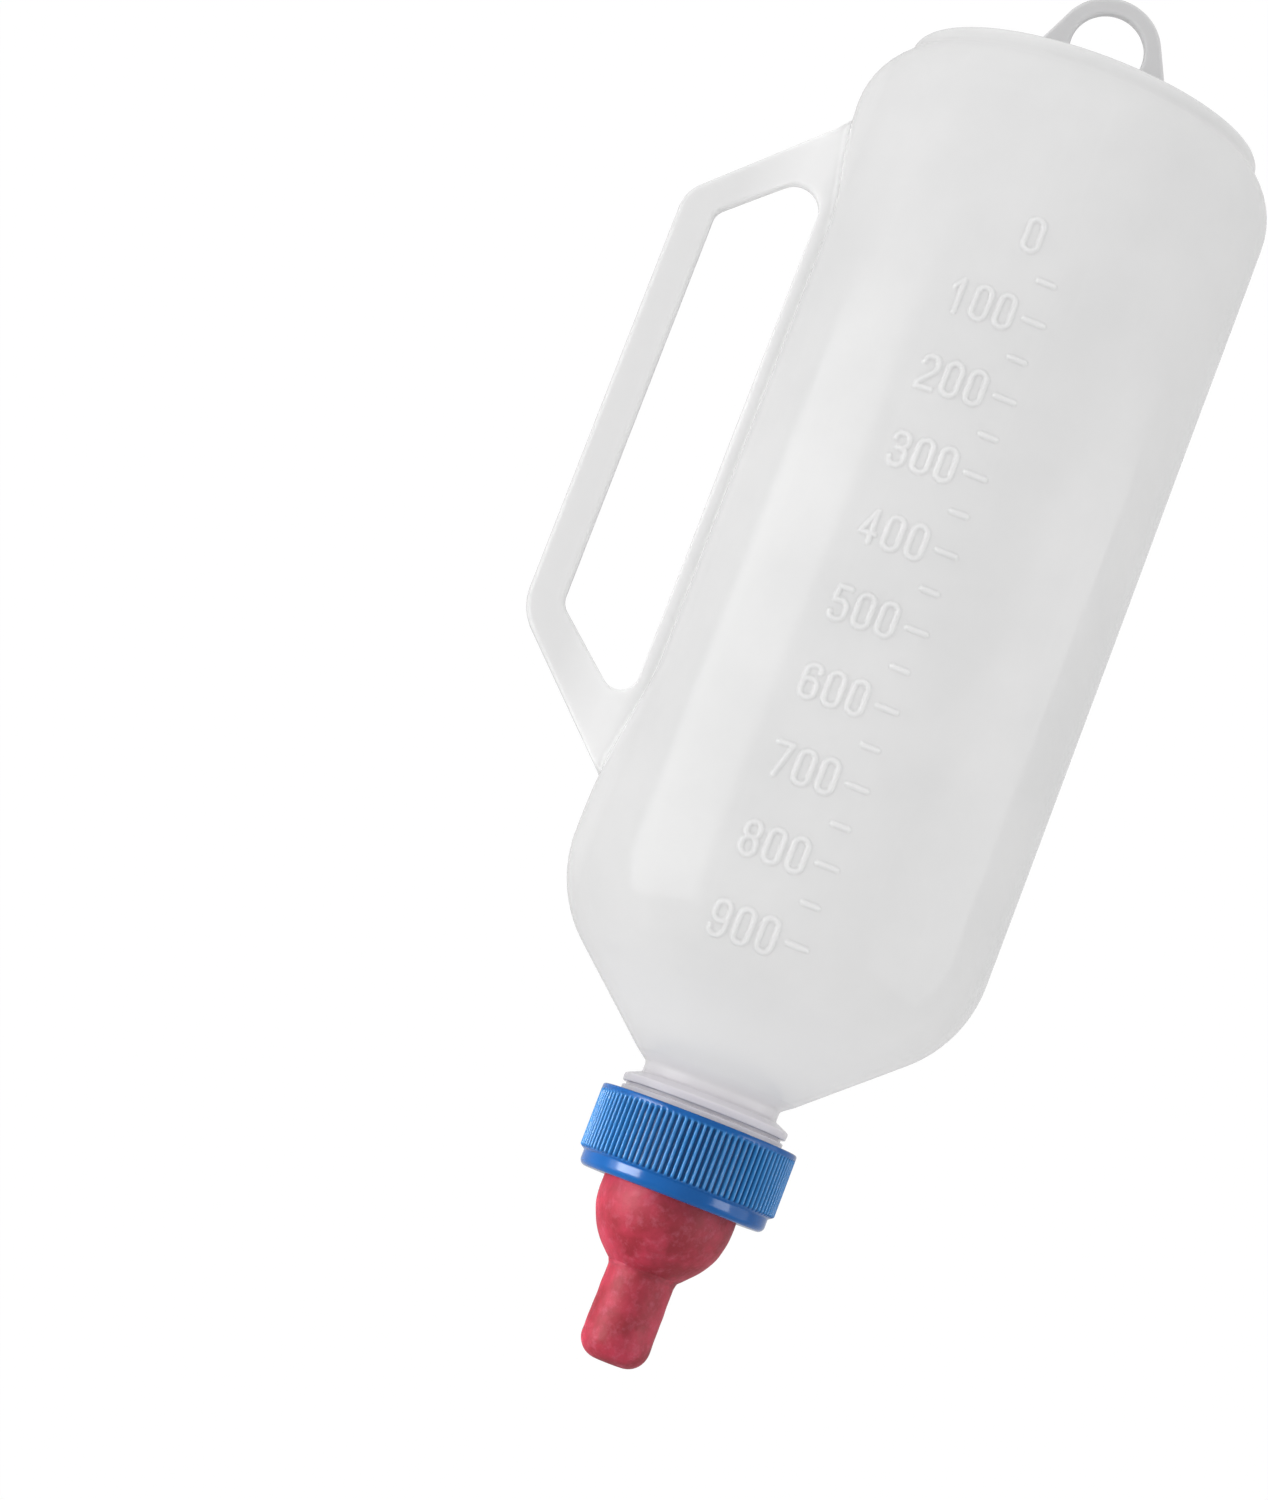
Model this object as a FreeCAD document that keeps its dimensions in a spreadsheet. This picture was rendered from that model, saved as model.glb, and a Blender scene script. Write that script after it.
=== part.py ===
"""Calf feeding bottle: a moulded bottle with a carry handle and a hanging loop, a cap and a teat.

Every sub-part is drawn on a bench: the base of the bottle on z = 0, the neck up, the handle
towards +X and the millilitre scale towards -Y. BENCH_TO_HUNG then turns the whole bottle neck
down, the way it hangs and is used, and loop_rise lowers it until the centre of the hanging
loop's hole is the origin. The handle is then on -X.
"""
import FreeCAD
import Part
import Sketcher
import math
import os

V = FreeCAD.Vector

# Driving dimensions in millimetres. Heights are measured from the base plane towards the teat.
SIZES = {
    # bottle form
    "body_radius": 45.2,
    "bottle_wall": 1.2,
    "base_radius": 38.2,
    "base_edge_round": 2.1,
    "base_step_radius": 38.5,
    "base_step_height": 3.6,
    "body_start": 9.9,
    "body_start_round": 15.4,
    "shoulder_start": 194.7,
    "shoulder_round": 28.2,
    "shoulder_end": 219.2,
    "shoulder_end_radius": 17.4,
    "neck_radius": 14.6,
    "neck_start": 221.0,
    "neck_bore_radius": 12.6,
    # finger recess in the body beside the handle
    "recess_depth": 4.4,
    "recess_start": 22.0,
    "recess_full": 44.0,
    "recess_ease": 147.0,
    "recess_end": 170.0,
    "recess_round": 40.0,
    # neck finish
    "bead_start": 223.4,
    "bead_full": 225.0,
    "bead_radius": 17.8,
    "bead_end": 226.6,
    "groove_radius": 16.9,
    "collar_start": 227.2,
    "collar_radius": 17.6,
    "collar_end": 229.6,
    "finish_radius": 16.6,
    "finish_end": 242.2,
    "finish_lip": 0.6,
    "thread_pitch": 4.0,
    "neck_thread_start": 232.5,
    "neck_thread_height": 6.5,
    "thread_depth": 1.5,
    "thread_root": 1.0,
    "thread_crest": 0.5,
    "thread_sink": 0.3,
    # carry handle
    "handle_thickness": 3.6,
    "handle_edge": 0.8,
    "handle_root": 38.0,
    "handle_outer": 72.5,
    "handle_top_root": 14.5,
    "handle_top_corner": 47.6,
    "handle_low_corner": 142.8,
    "handle_low_root": 176.3,
    "handle_top_round": 8.0,
    "handle_low_round": 12.0,
    "gap_near": 44.5,
    "gap_far": 64.8,
    "gap_top": 31.2,
    "gap_top_corner": 49.6,
    "gap_low_corner": 139.0,
    "gap_low": 156.4,
    "gap_corner_round": 4.0,
    "gap_top_round": 5.2,
    "gap_low_round": 4.0,
    # hanging loop
    "loop_rise": 12.9,
    "loop_hole_radius": 8.0,
    "loop_outer_radius": 11.5,
    "loop_apex": 40.1,
    "loop_foot": 20.4,
    "loop_thickness": 3.0,
    "loop_edge": 0.6,
    # raised scale
    "relief_height": 0.4,
    "zero_mark": 42.5,
    "mark_pitch": 16.59,
    "mark_count": 10.0,
    "tick_start": 2.9,
    "tick_length": 5.0,
    "half_tick_length": 4.2,
    "tick_width": 0.9,
    "digit_height": 7.5,
    "digit_width": 3.8,
    "digit_advance": 4.9,
    "digit_right": 1.2,
    "digit_stroke": 0.9,
    # screw cap
    "cap_start": 228.5,
    "cap_end": 245.8,
    "cap_radius": 21.2,
    "cap_rim_end": 229.8,
    "rib_end": 241.8,
    "rib_depth": 0.8,
    "rib_valley": 0.3,
    "rib_mouth": 1.1,
    "rib_count": 96.0,
    "cap_lip_start": 242.9,
    "cap_lip_radius": 20.1,
    "cap_lip_round": 1.4,
    "cap_bore_radius": 18.7,
    "cap_mouth_round": 0.5,
    "cap_seat": 244.2,
    "cap_hole_radius": 14.9,
    "cap_thread_start": 230.9,
    "cap_thread_height": 6.5,
    "cap_thread_depth": 1.4,
    # teat
    "flange_radius": 17.0,
    "teat_inner_radius": 12.3,
    "bulb_radius": 14.4,
    "bulb_shoulder": 254.6,
    "bulb_round": 15.9,
    "waist_height": 261.9,
    "waist_radius": 7.15,
    "waist_round": 3.6,
    "nipple_radius": 7.35,
    "nipple_tip": 281.4,
    "nipple_tip_round": 4.6,
    "teat_wall": 2.1,
    "slit_length": 4.0,
    "slit_width": 0.3,
    "vent_width": 1.4,
    "vent_depth": 0.6,
}

DIGIT_STROKES = {
    # Centre lines in a box one unit wide and one unit high: each list is one stroke of straight runs.
    "0": [[(0, 0.18), (0, 0.82), (0.25, 1), (0.75, 1), (1, 0.82), (1, 0.18), (0.75, 0), (0.25, 0),
           (0, 0.18)]],
    "1": [[(0.15, 0.78), (0.6, 1), (0.6, 0)]],
    "2": [[(0, 0.8), (0.2, 1), (0.8, 1), (1, 0.8), (1, 0.62), (0, 0.1), (0, 0), (1, 0)]],
    "3": [[(0, 0.85), (0.2, 1), (0.8, 1), (1, 0.85), (1, 0.66), (0.8, 0.53), (0.4, 0.53)],
          [(0.8, 0.53), (1, 0.4), (1, 0.15), (0.8, 0), (0.2, 0), (0, 0.15)]],
    "4": [[(0.75, 0), (0.75, 1), (0, 0.3), (1, 0.3)]],
    "5": [[(0.95, 1), (0.1, 1), (0.03, 0.56), (0.75, 0.6), (1, 0.42), (1, 0.18), (0.75, 0), (0.2, 0),
           (0, 0.15)]],
    "6": [[(0.95, 0.86), (0.75, 1), (0.25, 1), (0, 0.8), (0, 0.18), (0.25, 0), (0.75, 0), (1, 0.18),
           (1, 0.4), (0.75, 0.56), (0, 0.5)]],
    "7": [[(0, 1), (1, 1), (0.35, 0)]],
    "8": [[(0.2, 0.54), (0, 0.7), (0, 0.85), (0.2, 1), (0.8, 1), (1, 0.85), (1, 0.7), (0.8, 0.54),
           (0.2, 0.54), (0, 0.38), (0, 0.15), (0.2, 0), (0.8, 0), (1, 0.15), (1, 0.38), (0.8, 0.54)]],
    "9": [[(0.05, 0.14), (0.25, 0), (0.75, 0), (1, 0.2), (1, 0.82), (0.75, 1), (0.25, 1), (0, 0.82),
           (0, 0.6), (0.25, 0.44), (1, 0.5)]],
}

doc = FreeCAD.newDocument("calf_feeding_bottle")


def make_sheet():
    """The spreadsheet that holds every driving dimension under a plain word."""
    sheet = doc.addObject("Spreadsheet::Sheet", "Sizes")
    for row, (word, value) in enumerate(SIZES.items(), start=1):
        sheet.set(f"A{row}", word)
        sheet.set(f"B{row}", str(value))
        sheet.setAlias(f"B{row}", word)
    doc.recompute()
    return sheet


sheet = make_sheet()
BENCH_TO_HUNG = FreeCAD.Placement(V(0, 0, 0), FreeCAD.Rotation(V(0, 1, 0), 180))


def sized(text):
    """Spell an expression on the sheet's words: each word of SIZES gets the sheet's name in front."""
    out, word = "", ""
    for letter in text + " ":
        if letter.isalnum() or letter == "_":
            word += letter
            continue
        out += ("Sizes." + word if word in SIZES else word) + letter
        word = ""
    return out.strip()


def value(text):
    """The number that an expression on the sheet's words stands for."""
    return float(sheet.evalExpression(sized(text)))


def bind(feature, name, text):
    feature.setExpression(name, sized(text))


def new_body(label):
    body = doc.addObject("PartDesign::Body", label)
    body.Label = label
    return body


def plane_of(body, role):
    return next(part for part in body.Origin.OriginFeatures if part.Role == role)


def new_sketch(body, name, role="XZ_Plane", offset=None):
    """A sketch on one of the body's own origin planes, lifted off it by an optional expression."""
    sketch = body.newObject("Sketcher::SketchObject", name)
    sketch.AttachmentSupport = [(plane_of(body, role), "")]
    sketch.MapMode = "FlatFace"
    if offset:
        bind(sketch, "AttachmentOffset.Base.z", offset)
    return sketch


def pin_point(sketch, geometry, point, x_text, y_text):
    """Hold a sketch point at the two sizes that the expressions give."""
    for kind, text, axis in (("DistanceX", x_text, -2), ("DistanceY", y_text, -1)):
        if abs(value(text)) < 1e-9:
            sketch.addConstraint(Sketcher.Constraint("PointOnObject", geometry, point, axis))
            continue
        index = sketch.addConstraint(Sketcher.Constraint(kind, -1, 1, geometry, point, value(text)))
        bind(sketch, f"Constraints[{index}]", text)


def rounding(before, corner, after, radius):
    """Where an arc of this radius leaves each side of a corner, and the arc's own middle point."""
    back, ahead = (before - corner).normalize(), (after - corner).normalize()
    half = back.getAngle(ahead) / 2
    start, end = corner + back * (radius / math.tan(half)), corner + ahead * (radius / math.tan(half))
    centre = corner + (back + ahead).normalize() * (radius / math.sin(half))
    middle = centre + (corner - centre).normalize() * radius
    return start, middle, end


def outline(sketch, corners):
    """A closed outline through corners of (x, y) or (x, y, radius), each an expression on the sheet."""
    points = [V(value(corner[0]), value(corner[1]), 0) for corner in corners]
    count = len(points)
    ends = []
    for i, corner in enumerate(corners):
        if len(corner) == 2:
            ends.append((points[i], None, points[i]))
        else:
            ends.append(rounding(points[i - 1], points[i], points[(i + 1) % count], value(corner[2])))
    lines = []
    for i in range(count):
        start, end = ends[i][2], ends[(i + 1) % count][0]
        lines.append(sketch.addGeometry(Part.LineSegment(start, end), False))
    for i, corner in enumerate(corners):
        before, after = lines[i - 1], lines[i]
        if len(corner) == 2:
            sketch.addConstraint(Sketcher.Constraint("Coincident", before, 2, after, 1))
            pin_point(sketch, after, 1, corner[0], corner[1])
            continue
        arc = sketch.addGeometry(Part.Arc(*ends[i]), False)
        arc_start = sketch.getPoint(arc, 1)
        first = 1 if arc_start.distanceToPoint(ends[i][0]) < 1e-6 else 2
        sketch.addConstraint(Sketcher.Constraint("Tangent", before, 2, arc, first))
        sketch.addConstraint(Sketcher.Constraint("Tangent", arc, 3 - first, after, 1))
        sharp = sketch.addGeometry(Part.Point(points[i]), True)
        pin_point(sketch, sharp, 1, corner[0], corner[1])
        sketch.addConstraint(Sketcher.Constraint("PointOnObject", sharp, 1, before))
        sketch.addConstraint(Sketcher.Constraint("PointOnObject", sharp, 1, after))
        index = sketch.addConstraint(Sketcher.Constraint("Radius", arc, value(corner[2])))
        bind(sketch, f"Constraints[{index}]", corner[2])
    return sketch


def revolve(body, name, corners, kind="PartDesign::Revolution"):
    """A full turn of a half section, drawn with x as the radius and y as the height, about the z axis."""
    sketch = outline(new_sketch(body, name + "_section"), corners)
    feature = body.newObject(kind, name)
    feature.Profile = sketch
    feature.ReferenceAxis = (sketch, ["V_Axis"])
    feature.Angle = 360.0
    sketch.Visibility = False
    doc.recompute()
    return feature


def pad(body, name, corners, thickness, kind="PartDesign::Pad"):
    """A plate of an outline in the XZ plane, half its thickness each side of the plane."""
    sketch = outline(new_sketch(body, name + "_outline"), corners)
    feature = body.newObject(kind, name)
    feature.Profile = sketch
    feature.Midplane = True
    bind(feature, "Length", thickness)
    doc.recompute()
    return feature


def edges_where(feature, test):
    return [f"Edge{i}" for i, edge in enumerate(feature.Shape.Edges, start=1) if test(edge)]


def round_edges(body, name, feature, test, radius):
    rounded = body.newObject("PartDesign::Fillet", name)
    rounded.Base = (feature, edges_where(feature, test))
    bind(rounded, "Radius", radius)
    doc.recompute()
    return rounded


def boolean(kind, label, base, tool):
    result = doc.addObject(kind, label)
    result.Label = label
    result.Base, result.Tool = base, tool
    doc.recompute()
    return result


def must_cut(before, after):
    """A pocket or a pattern of pockets has to leave less material than it started with."""
    if not after.Shape.Volume < before.Shape.Volume - 1e-3:
        raise RuntimeError(f"{after.Label} cuts nothing")


def lies_at(edge, half):
    """True for an edge that lies in either face of a plate of this half thickness about the XZ plane."""
    return all(abs(abs(vertex.Y) - half) < 1e-6 for vertex in edge.Vertexes)


def form_section(skin, neck, end):
    """Half section of the closed bottle, each face moved outwards by skin, with a neck of this radius."""
    return [
        ("0", f"-({skin})"),
        (f"base_radius + {skin}", f"-({skin})", f"base_edge_round + {skin}"),
        (f"base_step_radius + {skin}", "base_step_height"),
        (f"body_radius + {skin}", "body_start", f"body_start_round + {skin}"),
        (f"body_radius + {skin}", f"shoulder_start + ({skin}) / 2", f"shoulder_round + {skin}"),
        (f"shoulder_end_radius + {skin}", f"shoulder_end + ({skin}) / 2"),
        (neck, f"neck_start + ({skin}) / 2"),
        (neck, end),
        ("0", end),
    ]


def recess_section(skin):
    """The finger recess seen from the front: it eases in, runs straight beside the handle and eases out."""
    wall, floor = f"body_radius + {skin}", f"body_radius - recess_depth + {skin}"
    beyond = "body_radius + recess_depth"
    return [
        (beyond, "recess_start"),
        (wall, "recess_start"),
        (floor, "recess_full", "recess_round"),
        (floor, "recess_ease", "recess_round"),
        (wall, "recess_end"),
        (beyond, "recess_end"),
    ]


def make_form(label, skin="0", neck="neck_radius", end="bead_start"):
    """A closed bottle shape with the finger recess cut into its handle side."""
    body = new_body(label)
    whole = revolve(body, label + "_turn", form_section(skin, neck, end))
    recess = pad(body, label + "_recess", recess_section(skin), "2 * body_radius", "PartDesign::Pocket")
    must_cut(whole, recess)
    return body


def make_bottle_body(form):
    """The hollow body: base, side wall with the finger recess, shoulder and the foot of the neck."""
    cavity = make_form("bottle_cavity", "-bottle_wall", "neck_bore_radius", "bead_start + 1")
    return boolean("Part::Cut", "bottle_body", form, cavity)


def thread_section(wall, crest, root_width, crest_width, start):
    """The ridge of a screw thread as a trapezium, sunk a little into the wall that it stands on."""
    return [
        (wall, f"{start} - {root_width}"),
        (crest, f"{start} - {crest_width}"),
        (crest, f"{start} + {crest_width}"),
        (wall, f"{start} + {root_width}"),
    ]


def add_thread(body, name, corners, height):
    """A right-hand screw thread about the z axis."""
    sketch = outline(new_sketch(body, name + "_section"), corners)
    thread = body.newObject("PartDesign::AdditiveHelix", name)
    thread.Profile = sketch
    thread.ReferenceAxis = (sketch, ["V_Axis"])
    thread.Mode = "pitch-height-angle"
    bind(thread, "Pitch", "thread_pitch")
    bind(thread, "Height", height)
    doc.recompute()
    return thread


def make_neck_finish():
    """The neck above the shoulder: support bead, groove, collar, threaded finish and the sealing rim."""
    body = new_body("neck_finish")
    revolve(body, "neck_turn", [
        ("neck_bore_radius", "bead_start"),
        ("neck_radius", "bead_start"),
        ("bead_radius", "bead_full", "finish_lip"),
        ("bead_radius", "bead_end"),
        ("groove_radius", "bead_end"),
        ("groove_radius", "collar_start"),
        ("collar_radius", "collar_start"),
        ("collar_radius", "collar_end", "finish_lip"),
        ("finish_radius", "collar_end"),
        ("finish_radius", "finish_end", "finish_lip"),
        ("neck_bore_radius", "finish_end"),
    ])
    corners = thread_section("finish_radius - thread_sink", "finish_radius + thread_depth",
                             "thread_root", "thread_crest", "neck_thread_start")
    add_thread(body, "neck_thread", corners, "neck_thread_height")
    return body


def make_carry_handle(form):
    """The flat pinched handle: one plate with the finger gap through it, rooted on the body."""
    plate = new_body("handle_plate")
    outer = [
        ("handle_root", "handle_top_root"),
        ("handle_outer", "handle_top_corner", "handle_top_round"),
        ("handle_outer", "handle_low_corner", "handle_low_round"),
        ("handle_root", "handle_low_root"),
    ]
    gap = [
        ("gap_near", "gap_top", "gap_top_round"),
        ("gap_far", "gap_top_corner", "gap_corner_round"),
        ("gap_far", "gap_low_corner", "gap_corner_round"),
        ("gap_near", "gap_low", "gap_low_round"),
    ]
    solid = pad(plate, "handle_web", outer, "handle_thickness")
    gap_cut = pad(plate, "finger_gap", gap, "2 * handle_thickness", "PartDesign::Pocket")
    must_cut(solid, gap_cut)
    half = value("handle_thickness") / 2
    round_edges(plate, "handle_rounding", gap_cut, lambda edge: lies_at(edge, half), "handle_edge")
    return boolean("Part::Cut", "carry_handle", plate, form)


def make_hanging_loop(form):
    """The flat tab under the base, with slanting sides, a round top and the round hole that it hangs by."""
    tab = new_body("loop_tab")
    sides = [
        ("-loop_foot", "base_step_height"),
        ("0", "-loop_apex", "loop_outer_radius"),
        ("loop_foot", "base_step_height"),
    ]
    solid = pad(tab, "loop_plate", sides, "loop_thickness")
    half = value("loop_thickness") / 2
    rounded = round_edges(tab, "loop_rounding", solid, lambda edge: lies_at(edge, half), "loop_edge")
    sketch = new_sketch(tab, "loop_hole_outline")
    circle = Part.Circle(V(0, -value("loop_rise"), 0), V(0, 0, 1), value("loop_hole_radius"))
    hole = sketch.addGeometry(circle)
    pin_point(sketch, hole, 3, "0", "-loop_rise")
    index = sketch.addConstraint(Sketcher.Constraint("Radius", hole, value("loop_hole_radius")))
    bind(sketch, f"Constraints[{index}]", "loop_hole_radius")
    pocket = tab.newObject("PartDesign::Pocket", "loop_hole")
    pocket.Profile = sketch
    pocket.Midplane = True
    bind(pocket, "Length", "2 * loop_thickness")
    doc.recompute()
    must_cut(rounded, pocket)
    return boolean("Part::Cut", "hanging_loop", tab, form)


def glyph(digit, left, foot):
    """One digit as a solid through the front wall. It reads upright when the neck points down."""
    wide, high = value("digit_width"), value("digit_height")
    solids = []
    for stroke in DIGIT_STROKES[digit]:
        inset = value("digit_stroke") / 2
        points = [V(-(left + inset + u * (wide - 2 * inset)), 0, foot - inset - v * (high - 2 * inset))
                  for u, v in stroke]
        for start, end in zip(points[:-1], points[1:]):
            solids.append(pen_run(start, end, inset))
    return solids[0].fuse(solids[1:]).removeSplitter()


def pen_run(start, end, half):
    """A straight run of the pen, round at both ends, as a bar along y through the front wall."""
    along = (end - start).normalize() * half
    across = V(along.z, 0, -along.x)
    side_a = Part.LineSegment(start + across, end + across)
    cap_a = Part.Arc(end + across, end + along, end - across)
    side_b = Part.LineSegment(end - across, start - across)
    cap_b = Part.Arc(start - across, start - along, start + across)
    wire = Part.Wire([part.toShape() for part in (side_a, cap_a, side_b, cap_b)])
    reach = value("body_radius")
    face = Part.Face(wire)
    face.translate(V(0, -reach - 2, 0))
    return face.extrude(V(0, 10, 0))


def make_scale_numerals(skin):
    """The raised numbers 0 to 900, right-aligned beside the marks."""
    blanks = doc.addObject("Part::Feature", "numeral_blanks")
    glyphs = []
    for mark in range(int(value("mark_count"))):
        text = str(100 * mark)
        foot = value("zero_mark + digit_height / 2") + mark * value("mark_pitch")
        for place, digit in enumerate(reversed(text)):
            left = value("digit_right - digit_width") - place * value("digit_advance")
            glyphs.append(glyph(digit, left, foot))
    blanks.Shape = Part.makeCompound(glyphs)
    return boolean("Part::Common", "scale_numerals", blanks, skin)


def add_ticks(body, name, length, first, count):
    """A row of short bars up the scale, each one reaching through the front wall."""
    middle = f"zero_mark + {first}"
    sketch = outline(new_sketch(body, name + "_outline"), [
        ("-tick_start", f"{middle} - tick_width / 2"),
        ("-tick_start", f"{middle} + tick_width / 2"),
        (f"-tick_start - {length}", f"{middle} + tick_width / 2"),
        (f"-tick_start - {length}", f"{middle} - tick_width / 2"),
    ])
    bar = body.newObject("PartDesign::Pad", name)
    bar.Profile = sketch
    bind(bar, "Length", "body_radius + 2")
    doc.recompute()
    row = body.newObject("PartDesign::LinearPattern", name + "_row")
    row.Originals = [bar]
    row.Direction = (sketch, ["V_Axis"])
    bind(row, "Length", f"mark_pitch * ({count} - 1)")
    row.Occurrences = int(value(count))
    body.Tip = row
    doc.recompute()
    return row


def make_scale_ticks(skin):
    """The raised marks: a long one at each hundred and a shorter one half way between."""
    blanks = new_body("tick_blanks")
    add_ticks(blanks, "hundred_ticks", "tick_length", "mark_pitch", "mark_count - 1")
    add_ticks(blanks, "fifty_ticks", "half_tick_length", "mark_pitch / 2", "mark_count - 1")
    return boolean("Part::Common", "scale_ticks", blanks, skin)


def make_screw_cap():
    """The ribbed ring that screws onto the neck and holds the teat's flange against the rim."""
    body = new_body("screw_cap")
    revolve(body, "cap_turn", [
        ("cap_bore_radius", "cap_start"),
        ("cap_radius", "cap_start", "cap_mouth_round"),
        ("cap_radius", "rib_end"),
        ("cap_lip_radius", "cap_lip_start"),
        ("cap_lip_radius", "cap_end", "cap_lip_round"),
        ("cap_hole_radius", "cap_end", "cap_mouth_round"),
        ("cap_hole_radius", "cap_seat"),
        ("cap_bore_radius", "cap_seat"),
    ])
    corners = thread_section("cap_bore_radius + thread_sink", "cap_bore_radius - cap_thread_depth",
                             "thread_root", "thread_crest", "cap_thread_start")
    plain = add_thread(body, "cap_thread", corners, "cap_thread_height")
    valley = new_sketch(body, "rib_valley_outline", "XY_Plane", "cap_rim_end")
    outline(valley, [
        ("cap_radius - rib_depth", "-rib_valley / 2"),
        ("cap_radius + rib_depth", "-rib_mouth"),
        ("cap_radius + rib_depth", "rib_mouth"),
        ("cap_radius - rib_depth", "rib_valley / 2"),
    ])
    groove = body.newObject("PartDesign::Pocket", "rib_valley_cut")
    groove.Profile = valley
    groove.Reversed = True
    bind(groove, "Length", "cap_lip_start - cap_rim_end")
    doc.recompute()
    must_cut(plain, groove)
    ribs = body.newObject("PartDesign::PolarPattern", "ribs")
    ribs.Originals = [groove]
    ribs.Axis = (valley, ["N_Axis"])
    ribs.Angle = 360.0
    ribs.Occurrences = int(value("rib_count"))
    body.Tip = ribs
    doc.recompute()
    must_cut(groove, ribs)
    return body


def make_teat():
    """The hollow rubber teat: flange, bulb, waist and nipple, a cross slit and two vent grooves."""
    body = new_body("teat")
    solid = revolve(body, "teat_turn", [
        ("teat_inner_radius", "finish_end"),
        ("flange_radius", "finish_end"),
        ("flange_radius", "cap_seat"),
        ("bulb_radius", "cap_seat"),
        ("bulb_radius", "bulb_shoulder", "bulb_round"),
        ("waist_radius", "waist_height", "waist_round"),
        ("nipple_radius", "nipple_tip", "nipple_tip_round"),
        ("0", "nipple_tip"),
        ("0", "nipple_tip - teat_wall"),
        ("nipple_radius - teat_wall", "nipple_tip - teat_wall", "nipple_tip_round - teat_wall"),
        ("waist_radius - teat_wall", "waist_height - teat_wall / 2", "waist_round + teat_wall"),
        ("teat_inner_radius", "bulb_shoulder - teat_wall / 2", "bulb_round - teat_wall"),
    ])
    across = [
        ("-flange_radius - 1", "finish_end - 1"),
        ("flange_radius + 1", "finish_end - 1"),
        ("flange_radius + 1", "finish_end + vent_depth"),
        ("-flange_radius - 1", "finish_end + vent_depth"),
    ]
    vents = pad(body, "vent_grooves", across, "vent_width", "PartDesign::Pocket")
    must_cut(solid, vents)
    slit = [
        ("-slit_width / 2", "nipple_tip - 2 * teat_wall"),
        ("slit_width / 2", "nipple_tip - 2 * teat_wall"),
        ("slit_width / 2", "nipple_tip + 1"),
        ("-slit_width / 2", "nipple_tip + 1"),
    ]
    first = pad(body, "tip_slit", slit, "slit_length", "PartDesign::Pocket")
    must_cut(vents, first)
    long_way = [
        ("-slit_length / 2", "nipple_tip - 2 * teat_wall"),
        ("slit_length / 2", "nipple_tip - 2 * teat_wall"),
        ("slit_length / 2", "nipple_tip + 1"),
        ("-slit_length / 2", "nipple_tip + 1"),
    ]
    second = pad(body, "tip_cross_slit", long_way, "slit_width", "PartDesign::Pocket")
    must_cut(first, second)
    return body


def check(nodes):
    """Stop if any object of the document failed or any sub-part is empty, open or invalid."""
    for part in doc.Objects:
        if "Invalid" in part.State or "Error" in part.State:
            raise RuntimeError(f"{part.Label} did not rebuild: {part.State}")
    for node in nodes:
        shape = node.Shape
        if shape.isNull() or not shape.isValid() or not shape.Solids:
            raise RuntimeError(f"{node.Label} has no valid solid")
        print(f"{node.Label}: {len(shape.Solids)} solid(s), {shape.Volume:.1f} mm3")


def main():
    form = make_form("bottle_form")
    relief = boolean("Part::Cut", "relief_skin", make_form("relief_form", "relief_height"), form)
    nodes = [
        make_bottle_body(form),
        make_neck_finish(),
        make_carry_handle(form),
        make_hanging_loop(form),
        make_scale_numerals(relief),
        make_scale_ticks(relief),
        make_screw_cap(),
        make_teat(),
    ]
    for node in nodes:
        node.Placement = BENCH_TO_HUNG
        bind(node, "Placement.Base.z", "-loop_rise")
    doc.recompute()
    check(nodes)
    os.makedirs("parts", exist_ok=True)
    for node in nodes:
        node.Shape.exportStep(f"parts/{node.Label}.step")


main()
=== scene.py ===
"""Looks of the calf feeding bottle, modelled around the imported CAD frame.

The bottle hangs neck down. Shapes are written in millimetres, with "depth" counted from the base plane
towards the teat and "azimuth" counted from the front (-Y) towards +X, so the handle is at -90 degrees.
place() and level() turn these into the row frame, in metres.
"""
import math

import bpy
import numpy as np
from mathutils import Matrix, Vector


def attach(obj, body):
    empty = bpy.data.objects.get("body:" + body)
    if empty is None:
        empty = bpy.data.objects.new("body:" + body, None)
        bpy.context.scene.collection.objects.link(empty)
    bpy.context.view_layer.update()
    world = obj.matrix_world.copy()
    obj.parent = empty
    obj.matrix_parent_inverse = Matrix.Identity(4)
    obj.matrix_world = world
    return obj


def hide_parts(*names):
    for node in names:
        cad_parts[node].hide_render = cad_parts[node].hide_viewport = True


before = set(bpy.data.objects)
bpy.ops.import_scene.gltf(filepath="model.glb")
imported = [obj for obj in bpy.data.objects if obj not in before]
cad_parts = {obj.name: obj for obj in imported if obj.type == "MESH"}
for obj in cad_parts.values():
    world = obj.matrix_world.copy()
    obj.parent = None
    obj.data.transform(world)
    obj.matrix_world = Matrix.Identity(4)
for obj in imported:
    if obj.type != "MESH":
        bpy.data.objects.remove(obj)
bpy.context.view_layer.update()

MM = 0.001
LOOP_RISE = 12.9                      # the loop hole's centre, the origin, lies this far above the base
ARC_STEP = math.radians(12)

# Bottle
BODY_RADIUS = 45.2
WALL = 1.2
SHOULDER_START = 194.7
NECK_RADIUS = 14.6
NECK_BORE = 12.6
FINISH_RADIUS = 16.6
FINISH_END = 242.2
THREAD_PITCH = 4.0
NECK_THREAD = (232.5, 6.5, 1.5)       # first turn's depth, height and ridge height
RECESS_DEPTH = 4.4
MOULD_LINE = (0.09, 0.3)              # height and half width of the faint line on both sides
UNEVENNESS = 0.07                     # how far the blown wall wanders

# Handle and loop
PLATE_ROOT = 0.85                     # how deep the handle's root is sunk into the wall
HANDLE_HALF = 1.8                     # half thicknesses
LOOP_HALF = 1.5
LOOP_HOLE = 8.0
PARTING_LINE = (0.1, 0.25)            # height and half width of the line along a plate's edge

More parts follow.
